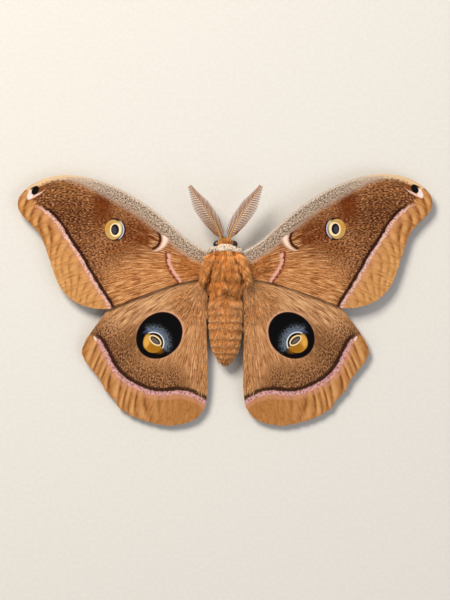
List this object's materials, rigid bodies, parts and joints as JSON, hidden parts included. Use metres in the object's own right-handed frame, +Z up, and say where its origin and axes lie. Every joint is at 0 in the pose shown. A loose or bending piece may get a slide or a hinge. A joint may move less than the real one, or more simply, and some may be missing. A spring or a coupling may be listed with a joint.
{
  "type": "polyphemus moth",
  "caption": "Life-size still model of a male polyphemus moth that stands on six feet with its four wings spread flat and its feathery antennae forward.",
  "frame": {"origin": "on the floor under the middle of the model's box, below the rear of the thorax", "axes": "+Y towards the head, +X towards the moth's own right side as it is seen from above with the head up, +Z up"},
  "size_m": [0.1298, 0.0789, 0.0136],
  "materials": {
    "thorax coat": "long, soft orange-brown hair",
    "abdomen coat": "short, soft orange-brown hair in rings",
    "head coat": "short orange-brown hair",
    "collar coat": "short cream hair",
    "shoulder coat": "long orange-brown hair",
    "eye": "glossy, finely faceted",
    "palp coat": "short brown hair",
    "antenna": "tan shaft with brown rami",
    "forewing scales": "matt brown scales with bands and an eye spot",
    "hindwing scales": "matt tan scales with a dark band and a large eye spot",
    "leg coat": "short brown hair"
  },
  "bodies": {
    "root": {"thorax": "thorax coat", "abdomen": "abdomen coat", "head": "head coat", "collar": "collar coat", "eye_left": "eye", "palp_left": "palp coat", "antenna_left": "antenna", "tegula_left": "shoulder coat", "forewing_left": "forewing scales", "hindwing_left": "hindwing scales", "foreleg_left": "leg coat", "midleg_left": "leg coat", "hindleg_left": "leg coat", "eye_right": "eye", "palp_right": "palp coat", "antenna_right": "antenna", "tegula_right": "shoulder coat", "forewing_right": "forewing scales", "hindwing_right": "hindwing scales", "foreleg_right": "leg coat", "midleg_right": "leg coat", "hindleg_right": "leg coat"}
  },
  "joints": []
}
